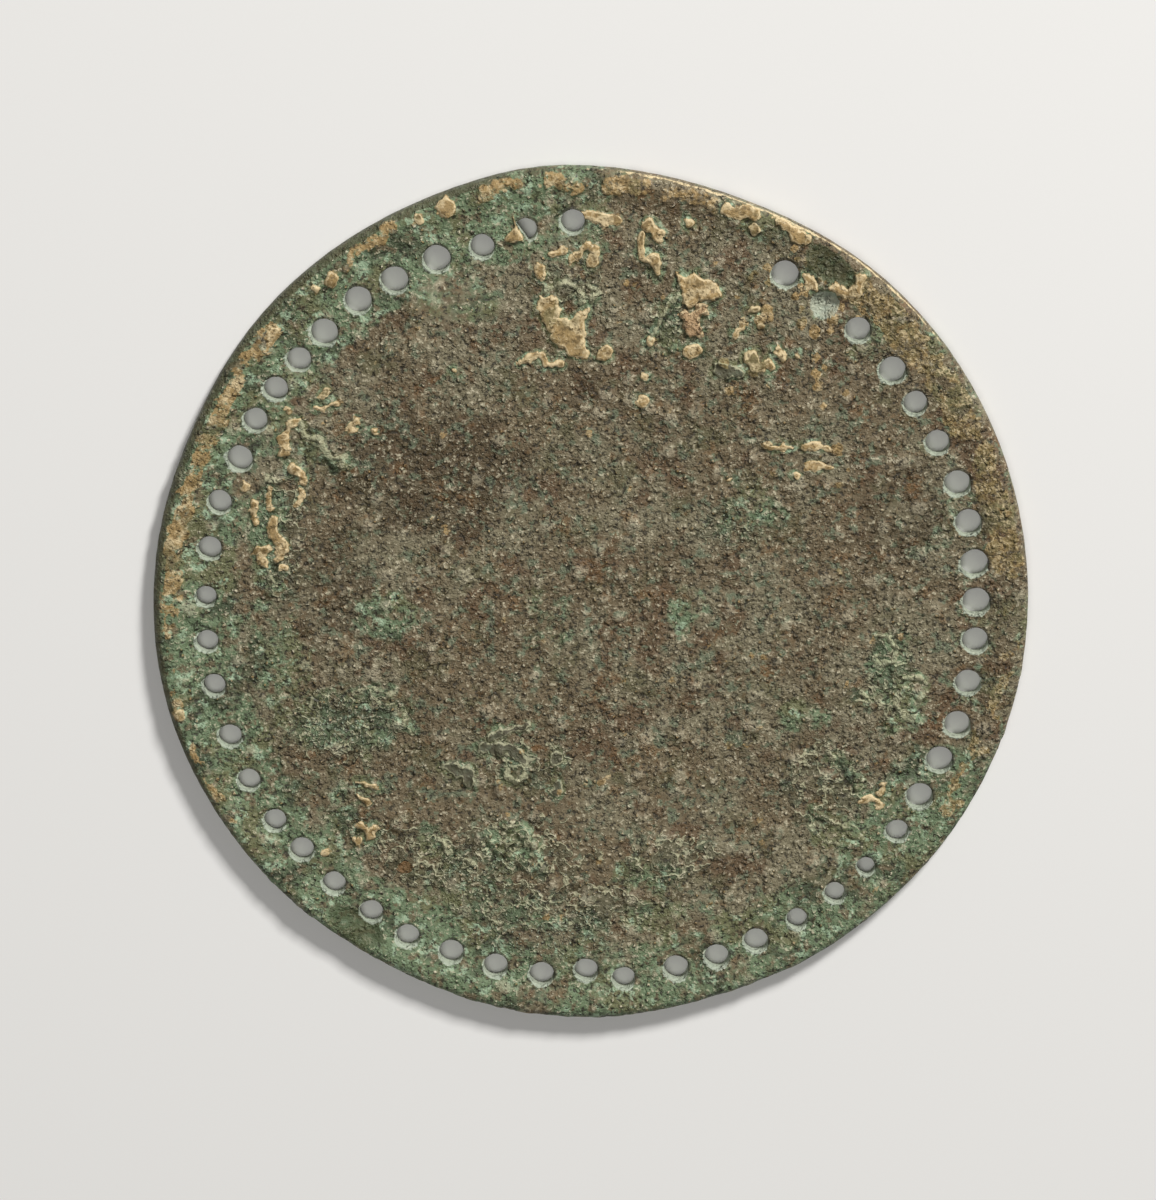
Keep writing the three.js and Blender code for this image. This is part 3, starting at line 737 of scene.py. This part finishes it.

# What covers the metal at each point, carried over from the skin to the pierced mesh, from 0 to 1.
# Round each hole, painted shade darkens the mouth on the side nearer the lamp, and pale salts lie
# inside, reaching out over the lip on the other side as a painted highlight.
SHADED_MOUTH_SIDE = (0.53, 0.85)
finder = KDTree(len(place))
for index, point in enumerate(place * MILLIMETRE):
    finder.insert(point, index)
finder.balance()
nearest = np.array([finder.find(vertex.co)[1] for vertex in pierced.vertices])
spots = np.array([vertex.co for vertex in pierced.vertices]) / MILLIMETRE
past_flake = (spots[:, 0] - FLAKE_EDGE[0]) * FLAKE_SIDE[0]
past_flake += (spots[:, 1] - FLAKE_EDGE[1]) * FLAKE_SIDE[1]
salts_and_highlight = np.zeros(len(spots))
mouth_painted_shade = np.zeros(len(spots))
for bore in bores:
    away_x = spots[:, 0] - bore[0]
    away_y = spots[:, 1] - bore[1]
    from_edge = np.hypot(away_x, away_y) - bore[2]
    # The mouth's side nearer the lamp, whose slope faces away from it, gets the painted shade.
    shaded_side = (SHADED_MOUTH_SIDE[0] * away_x + SHADED_MOUTH_SIDE[1] * away_y) / bore[2]
    shaded_side = ease(shaded_side, -0.4, 0.6)
    open_side = past_flake > -0.05 if bore is half_covered else 1
    # Pale salts inside the bore, running further out on the side away from the lamp as a painted
    # highlight on the lit lip.
    inside = 1 - ease(from_edge, -0.05, 0.5 - 0.45 * shaded_side)
    painted_shade_here = shaded_side * (1 - ease(from_edge, 0.05, 0.6))
    salts_and_highlight = np.maximum(salts_and_highlight, inside * open_side)
    mouth_painted_shade = np.maximum(mouth_painted_shade, painted_shade_here * open_side)
left_rim = stretch(bearing, 132, 222, 12)
covers = {
    "rim_earth": 0.6 * band_cover * (1 - left_rim),
    "tan_earth": np.clip(
        cover["tan"] + 0.6 * band_cover * left_rim + ease(earth_specks, 0.15, 0.4), 0, 1
    ),
    "pink_earth": cover["pink"],
    "crust_lip_and_highlight": cover["lip"],
    "green_salts": np.clip(np.max([green_zone, cover["green"], cover["halo"]], axis=0), 0, 1),
    # The pale edging round tan and pink crusts: partly paler earth, partly a painted highlight on
    # their flanks.
    "grey_plate": cover["grey"],
    "bright_crest": cover["crest"],
    # The outer edge: a little darker all round, and much darker on the left, away from the lamp,
    # as painted shade.
    "dark_edge_and_shade": outer_line * (0.2 + 0.8 * stretch(bearing, 100, 205, 40)),
    # A painted glint: pale colour along the rim's rounded corner on the upper right, facing the
    # lamp.
    "painted_edge_glint": 0.7 * glint_line * (1 - wall_share) * stretch(bearing, 36, 90, 20),
    "rust_stain": rust_zone,
    "brown_shade": brown_zone,
    "salt_grains": salt_zone,
    "curl_share": curl_zone,
    "pit_salts": 1 - ease(pit_away, 0.7, 1.25),
    "dent_dark": 1 - ease(dent_away, 0.6, 1.2),
    # Paler tops of the blisters and lumps: partly the skin's own pale tips, partly a painted
    # highlight.
    "lump_top_and_highlight": ease(coarse_grain + sparse_lumps, 0.1, 0.35),
    "grain_depth": rough_share
    * (1 - 0.7 * np.maximum(cover["tan"], cover["grey"]))
    * (1 + 0.25 * blotch + 0.4 * salt_zone - 0.35 * smooth_low),
}

# The back has the same amount all over: a finer grain, a few green salts and a brown shade.
BEHIND = {"grain_depth": 0.7, "green_salts": 0.4, "brown_shade": 0.35}
carried = {}
for name, share in covers.items():
    carried[name] = np.where(on_face, share, BEHIND.get(name, 0))[nearest]
carried["mouth_painted_shade"] = mouth_painted_shade
carried["bore_salts_and_highlight"] = salts_and_highlight
for name, share in carried.items():
    layer = pierced.attributes.new(name, "FLOAT", "POINT")
    layer.data.foreach_set("value", share.astype(np.float32))

# Patinated bronze: brown and olive copper oxides, green carbonates and tan burial earth, all dry
# and matt. The eye sees no metal, only a granular skin. Its dark hollows and pale grain tips are
# partly the skin's own dark pits and pale tips and partly painted shade and painted highlight.
BROWN = "#6e6046"
RED_BROWN = "#604a30"
DARK_BROWN = "#4d3f26"
GREY_BROWN = "#7e765c"
OLIVE = "#5f5a3c"
RUST = "#73522b"
GREY_GREEN = "#687259"
# Near black of the pits, also laid as painted shade in the grain's low spots and on the hole
# mouths.
HOLLOW_AND_SHADE = "#262112"
# Cream of the grain tips, laid partly as a painted highlight on raised grains.
GRAIN_TIP_AND_HIGHLIGHT = "#d0c6a8"
DEEP_GREEN = "#3c442c"
DENT_GREEN = "#414a2b"
MID_GREEN = "#6b7c5b"
MOSS = "#6b6945"
PALE_GREEN = "#a2b998"
EARTH = "#a28656"
PALE_EARTH = "#d8c398"
DARK_EARTH = "#705c36"
RIM_EARTH = "#877448"
PINK_EARTH = "#ae8d66"
SALT_TIP = "#b6c2a6"
PLATE_GREY = "#4d4936"
CREST = "#bcba96"
BORE_GREEN = "#b6bfab"
EDGE_DARK_AND_SHADE = "#4a472d"


def linear(hex_colour):
    """A hex sRGB colour as linear red, green, blue and alpha."""
    parts = [int(hex_colour[i : i + 2], 16) / 255 for i in (1, 3, 5)]
    parts = [p / 12.92 if p <= 0.04045 else ((p + 0.055) / 1.055) ** 2.4 for p in parts]
    return (*parts, 1)


def add_node(tree, kind, inputs=None, **settings):
    """Adds a node, with its settings, and with values, sockets or whole nodes on its inputs."""
    made = tree.nodes.new(kind)
    for key, value in settings.items():
        setattr(made, key, value)
    live = [socket for socket in made.inputs if socket.enabled]
    for key, value in (inputs or {}).items():
        socket = live[key] if isinstance(key, int) else next(s for s in live if s.name == key)
        if isinstance(value, bpy.types.Node):
            value = next(s for s in value.outputs if s.enabled)
        if isinstance(value, bpy.types.NodeSocket):
            tree.links.new(value, socket)
        elif isinstance(value, str):
            socket.default_value = linear(value)
        else:
            socket.default_value = value
    return made


patina = bpy.data.materials.new("patinated_bronze")
patina.use_nodes = True
tree = patina.node_tree
tree.nodes.clear()
where = add_node(tree, "ShaderNodeTexCoord").outputs["Object"]
in_mm = add_node(tree, "ShaderNodeMapping", {"Vector": where, "Scale": (1000, 1000, 1000)})

# Patterns of the real skin, named by what they look like, with their sizes in millimetres.
pattern = {}
for name, size, layers_of_noise in [
    ("grit", 0.62, 3.0),
    ("speck", 1.7, 3.0),
    ("island", 3.6, 4.0),
    ("stain", 5.6, 3.0),
    ("tone", 13.0, 2.0),
    ("curl", 2.6, 2.0),
]:
    noise = add_node(
        tree,
        "ShaderNodeTexNoise",
        {"Vector": in_mm, "Scale": 1 / size, "Detail": layers_of_noise, "Roughness": 0.66},
    )
    parts = add_node(tree, "ShaderNodeSeparateColor", {"Color": noise.outputs["Color"]})
    pattern[name] = parts.outputs["Red"]
    pattern[name + "_2"] = parts.outputs["Green"]
    pattern[name + "_3"] = parts.outputs["Blue"]
    if name == "grit":
        crumpled = add_node(
            tree,
            "ShaderNodeVectorMath",
            {0: noise.outputs["Color"], 1: (0.6, 0.6, 0.6), 2: in_mm},
            operation="MULTIPLY_ADD",
        )

# Nodules and grains: round cells on crumpled ground, some of them there and some not.
for name, spacing, bulk in [("nodule", 0.88, 0.45), ("grain", 0.45, 0.5)]:
    cells = add_node(
        tree, "ShaderNodeTexVoronoi", {"Vector": crumpled, "Scale": 1 / spacing}, feature="F1"
    )
    tints = add_node(tree, "ShaderNodeSeparateColor", {"Color": cells.outputs["Color"]})
    dome = add_node(
        tree,
        "ShaderNodeMapRange",
        {0: cells.outputs["Distance"], 1: bulk, 2: 0.1 * bulk},
        interpolation_type="SMOOTHSTEP",
    )
    there = add_node(tree, "ShaderNodeMapRange", {0: tints.outputs["Red"], 1: 0.5, 2: 0.55})
    pattern[name] = add_node(tree, "ShaderNodeMath", {0: dome, 1: there}, operation="MULTIPLY")
    for number, tint in [("_2", "Green"), ("_3", "Blue")]:
        pattern[name + number] = add_node(
            tree,
            "ShaderNodeMath",
            {0: pattern[name], 1: tints.outputs[tint]},
            operation="MULTIPLY",
        )
pattern["plateau"] = add_node(
    tree,
    "ShaderNodeMapRange",
    {0: pattern["island_2"], 1: 0.52, 2: 0.545},
    interpolation_type="SMOOTHSTEP",
)
for name in carried:
    pattern[name] = add_node(tree, "ShaderNodeAttribute", attribute_name=name).outputs["Fac"]

# Curls: thin crusts of salts with raised crinkled edges, only where the skin has them.
curl_patch = add_node(
    tree,
    "ShaderNodeMath",
    {0: pattern["curl_share"], 1: 0.5, 2: pattern["island"]},
    operation="MULTIPLY_ADD",
)
curl_here = add_node(
    tree,
    "ShaderNodeMapRange",
    {0: curl_patch, 1: 0.66, 2: 0.76},
    interpolation_type="SMOOTHSTEP",
)
from_line = add_node(tree, "ShaderNodeMath", {0: pattern["curl"], 1: 0.5}, operation="SUBTRACT")
from_line = add_node(tree, "ShaderNodeMath", {0: from_line}, operation="ABSOLUTE")
for name, shape, low, high in [
    ("curl_line", from_line, 0.036, 0.012),
    ("curl_plate", pattern["curl"], 0.49, 0.52),
]:
    pattern[name] = add_node(
        tree,
        "ShaderNodeMapRange",
        {0: shape, 1: low, 2: high},
        interpolation_type="SMOOTHSTEP",
    )
for name, everywhere in [("curl_edge", "curl_line"), ("curl_top", "curl_plate")]:
    pattern[name] = add_node(
        tree, "ShaderNodeMath", {0: pattern[everywhere], 1: curl_here}, operation="MULTIPLY"
    )


def lay_colours(tree, colour, coats):
    """Lays coats over a colour, each where its pattern goes from one value to another."""
    for coat, shape, low, high, strength in coats:
        share = add_node(
            tree,
            "ShaderNodeMapRange",
            {0: shape, 1: low, 2: high, 4: strength},
            interpolation_type="SMOOTHSTEP",
        )
        colour = add_node(
            tree, "ShaderNodeMix", {0: share, 1: colour, 2: coat}, data_type="RGBA"
        )
    return colour


shade_spread = add_node(
    tree, "ShaderNodeMath", {0: pattern["brown_shade"], 1: pattern["island_3"]}, operation="ADD"
)
brown_skin = lay_colours(
    tree,
    BROWN,
    [
        (GREY_BROWN, pattern["tone"], 0.44, 0.58, 0.9),
        (RED_BROWN, pattern["stain"], 0.52, 0.64, 0.85),
        (OLIVE, pattern["stain_2"], 0.54, 0.66, 0.8),
        (DARK_BROWN, shade_spread, 1.0, 1.35, 0.75),
        (RUST, pattern["island"], 0.56, 0.68, 0.55),
        (RUST, pattern["speck_2"], 0.6, 0.7, 0.45),
        (GREY_GREEN, pattern["speck_3"], 0.54, 0.64, 0.8),
    ],
)
green_skin = lay_colours(
    tree,
    MID_GREEN,
    [
        (DEEP_GREEN, pattern["stain_2"], 0.5, 0.62, 0.85),
        (MOSS, pattern["stain_3"], 0.5, 0.62, 0.85),
        (BROWN, pattern["speck_2"], 0.54, 0.64, 0.85),
        (PALE_GREEN, pattern["speck"], 0.55, 0.66, 0.8),
    ],
)
green_spread = pattern["green_salts"]
for name in ("stain_3", "speck_3"):
    green_spread = add_node(
        tree, "ShaderNodeMath", {0: green_spread, 1: pattern[name]}, operation="ADD"
    )
salt_tips = add_node(
    tree, "ShaderNodeMath", {0: pattern["salt_grains"], 1: pattern["grain"]}, operation="ADD"
)
skin_colour = lay_colours(
    tree,
    brown_skin,
    [
        (green_skin, green_spread, 1.35, 1.7, 1.0),
        (DEEP_GREEN, pattern["curl_top"], 0.0, 1.0, 0.45),
        (CREST, pattern["curl_edge"], 0.2, 1.0, 0.6),
        (SALT_TIP, salt_tips, 1.1, 1.6, 0.8),
        # Paler tops of lumps, nodules, grains and grit are partly painted highlight, and the
        # darker low spots of the grit partly painted shade.
        (GRAIN_TIP_AND_HIGHLIGHT, pattern["lump_top_and_highlight"], 0.2, 1.0, 0.3),
        (GRAIN_TIP_AND_HIGHLIGHT, pattern["nodule_2"], 0.5, 0.7, 0.8),
        (EARTH, pattern["nodule_3"], 0.6, 0.75, 0.7),
        (GRAIN_TIP_AND_HIGHLIGHT, pattern["grain_2"], 0.55, 0.75, 0.6),
        (GRAIN_TIP_AND_HIGHLIGHT, pattern["grit"], 0.57, 0.67, 0.6),
        (HOLLOW_AND_SHADE, pattern["grit"], 0.46, 0.36, 0.85),
    ],
)
earth_skin = lay_colours(
    tree,
    EARTH,
    [
        (DARK_EARTH, pattern["speck_2"], 0.5, 0.62, 0.7),
        (MOSS, pattern["stain_3"], 0.54, 0.66, 0.6),
        (PALE_EARTH, pattern["speck"], 0.5, 0.62, 0.6),
        # Paler grit high spots and darker grit low spots: partly the earth's own grain, partly
        # painted highlight and painted shade.
        (PALE_EARTH, pattern["grit"], 0.56, 0.66, 0.5),
        (DARK_EARTH, pattern["grit"], 0.46, 0.36, 0.9),
    ],
)
rim_skin = lay_colours(
    tree,
    RIM_EARTH,
    [
        (MOSS, pattern["stain_2"], 0.48, 0.6, 0.7),
        (EARTH, pattern["speck_2"], 0.52, 0.64, 0.8),
        (PALE_EARTH, pattern["curl_line"], 0.0, 1.0, 0.5),
        # Paler grit high spots and darker grit low spots: partly the earth's own grain, partly
        # painted highlight and painted shade.
        (PALE_EARTH, pattern["grit"], 0.56, 0.66, 0.6),
        (HOLLOW_AND_SHADE, pattern["grit"], 0.46, 0.36, 0.7),
    ],
)
# Of these coats, the darker outer edge is partly and the dark side of each hole's mouth wholly
# painted shade; the pale line on the rim's corner is a painted glint, and the pale crust edging
# and the pale lip of each hole are partly painted highlight.
for name, coat, strength in [
    ("grey_plate", PLATE_GREY, 0.85),
    ("dark_edge_and_shade", EDGE_DARK_AND_SHADE, 0.8),
    ("rim_earth", rim_skin, 0.9),
    ("dent_dark", DENT_GREEN, 0.7),
    ("rust_stain", RUST, 0.8),
    ("mouth_painted_shade", HOLLOW_AND_SHADE, 0.65),
    ("tan_earth", earth_skin, 0.95),
    ("pink_earth", PINK_EARTH, 0.9),
    ("crust_lip_and_highlight", PALE_EARTH, 0.7),
    ("bright_crest", CREST, 0.55),
    ("painted_edge_glint", PALE_EARTH, 0.9),
    ("pit_salts", BORE_GREEN, 0.6),
    ("bore_salts_and_highlight", BORE_GREEN, 0.8),
]:
    patchy_share = pattern[name]
    for broken_by, amount in [("speck_3", 1.0), ("grit_2", 0.8)]:
        patchy_share = add_node(
            tree,
            "ShaderNodeMath",
            {0: pattern[broken_by], 1: amount, 2: patchy_share},
            operation="MULTIPLY_ADD",
        )
    skin_colour = lay_colours(tree, skin_colour, [(coat, patchy_share, 1.3, 1.5, strength)])

# The fine relief, in millimetres: broken plateaus, nodules and grains on pitted ground.
fine_relief = -0.35
for name, depth in [
    ("plateau", 0.12),
    ("curl_top", 0.12),
    ("curl_edge", 0.2),
    ("nodule", 0.48),
    ("grain", 0.22),
    ("grit", 0.42),
]:
    fine_relief = add_node(
        tree,
        "ShaderNodeMath",
        {0: pattern[name], 1: depth, 2: fine_relief},
        operation="MULTIPLY_ADD",
    )
fine_relief = add_node(
    tree, "ShaderNodeMath", {0: fine_relief, 1: pattern["grain_depth"]}, operation="MULTIPLY"
)
bump = add_node(
    tree,
    "ShaderNodeBump",
    {"Strength": 1.0, "Distance": MILLIMETRE, "Height": fine_relief},
)
rough = add_node(
    tree, "ShaderNodeMapRange", {0: pattern["speck_2"], 1: 0.3, 2: 0.7, 3: 0.45, 4: 0.7}
)
shader = add_node(
    tree,
    "ShaderNodeBsdfPrincipled",
    {"Base Color": skin_colour, "Roughness": rough, "Normal": bump},
)
add_node(tree, "ShaderNodeOutputMaterial", {"Surface": shader})
pierced.materials.clear()
pierced.materials.append(patina)

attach(mirror, "root")
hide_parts("mirror_disc")

# The table
# A plain pale level top under the mirror, wider than the camera sees. It is no part of the mirror.
TABLE_HALF = 1.5
TABLE_GAP = 0.00005
TABLE_COLOUR = "#eae8e4"
table = bmesh.new()
bmesh.ops.create_grid(table, x_segments=2, y_segments=2, size=TABLE_HALF)
bmesh.ops.translate(table, vec=(0, 0, -TABLE_GAP), verts=table.verts)
table_mesh = bpy.data.meshes.new("table_top")
table.to_mesh(table_mesh)
table.free()
table_top = bpy.data.objects.new("table_top", table_mesh)
bpy.context.scene.collection.objects.link(table_top)
pale_paint = bpy.data.materials.new("matt_pale_paint")
pale_paint.use_nodes = True
pale_paint.node_tree.nodes.clear()
paint_shader = add_node(
    pale_paint.node_tree,
    "ShaderNodeBsdfPrincipled",
    {"Base Color": TABLE_COLOUR, "Roughness": 0.8},
)
add_node(pale_paint.node_tree, "ShaderNodeOutputMaterial", {"Surface": paint_shader})
table_mesh.materials.append(pale_paint)

# The light
# One soft lamp at the upper right, low enough to rake the grain, a broad faint one overhead, and
# an even pale surround.


def hang_lamp(name, bearing_deg, rise_deg, away, across_size, watts):
    """Hangs a square soft lamp that faces the mirror from a bearing and a rise in degrees."""
    lamp = bpy.data.lights.new(name, "AREA")
    lamp.size = across_size
    lamp.energy = watts
    holder = bpy.data.objects.new(name, lamp)
    turn = math.radians(bearing_deg)
    rise = math.radians(rise_deg)
    side = Vector((math.cos(turn), math.sin(turn), 0)) * math.cos(rise)
    holder.location = (side + Vector((0, 0, math.sin(rise)))) * away
    holder.rotation_euler = (-holder.location).to_track_quat("-Z", "Y").to_euler()
    bpy.context.scene.collection.objects.link(holder)


hang_lamp("key_lamp", 58, 30, 1.6, 0.28, 31)
hang_lamp("overhead_lamp", 200, 82, 1.2, 0.6, 3.8)
surround = bpy.data.worlds.new("pale_surround")
surround.use_nodes = True
surround.node_tree.nodes.clear()
glow = add_node(
    surround.node_tree, "ShaderNodeBackground", {"Color": (1, 1, 1, 1), "Strength": 0.11}
)
add_node(surround.node_tree, "ShaderNodeOutputWorld", {"Surface": glow})
bpy.context.scene.world = surround
bpy.context.scene.view_settings.view_transform = "Standard"

# The camera
# It stands 0.7 m off, leaning 13.8 degrees from straight above towards the handle's side, as the
# photograph's ovals show, and aims a little left of the mirror's middle.
CAMERA_AWAY = 0.7
CAMERA_LEAN = math.radians(13.8)
CAMERA_LENS = 166.44
AIM = Vector((-0.00158, -0.00027, 0))
camera_data = bpy.data.cameras.new("camera")
camera_data.lens = CAMERA_LENS
camera_data.sensor_width = 36
camera = bpy.data.objects.new("camera", camera_data)
camera.location = (0, CAMERA_AWAY * math.sin(CAMERA_LEAN), CAMERA_AWAY * math.cos(CAMERA_LEAN))
backwards = (camera.location - AIM).normalized()
upwards = Vector((0, math.cos(CAMERA_LEAN), -math.sin(CAMERA_LEAN)))
rightwards = upwards.cross(backwards).normalized()
upwards = backwards.cross(rightwards)
facing = Matrix((rightwards, upwards, backwards)).transposed()
camera.rotation_euler = facing.to_euler()
bpy.context.scene.collection.objects.link(camera)
bpy.context.scene.camera = camera
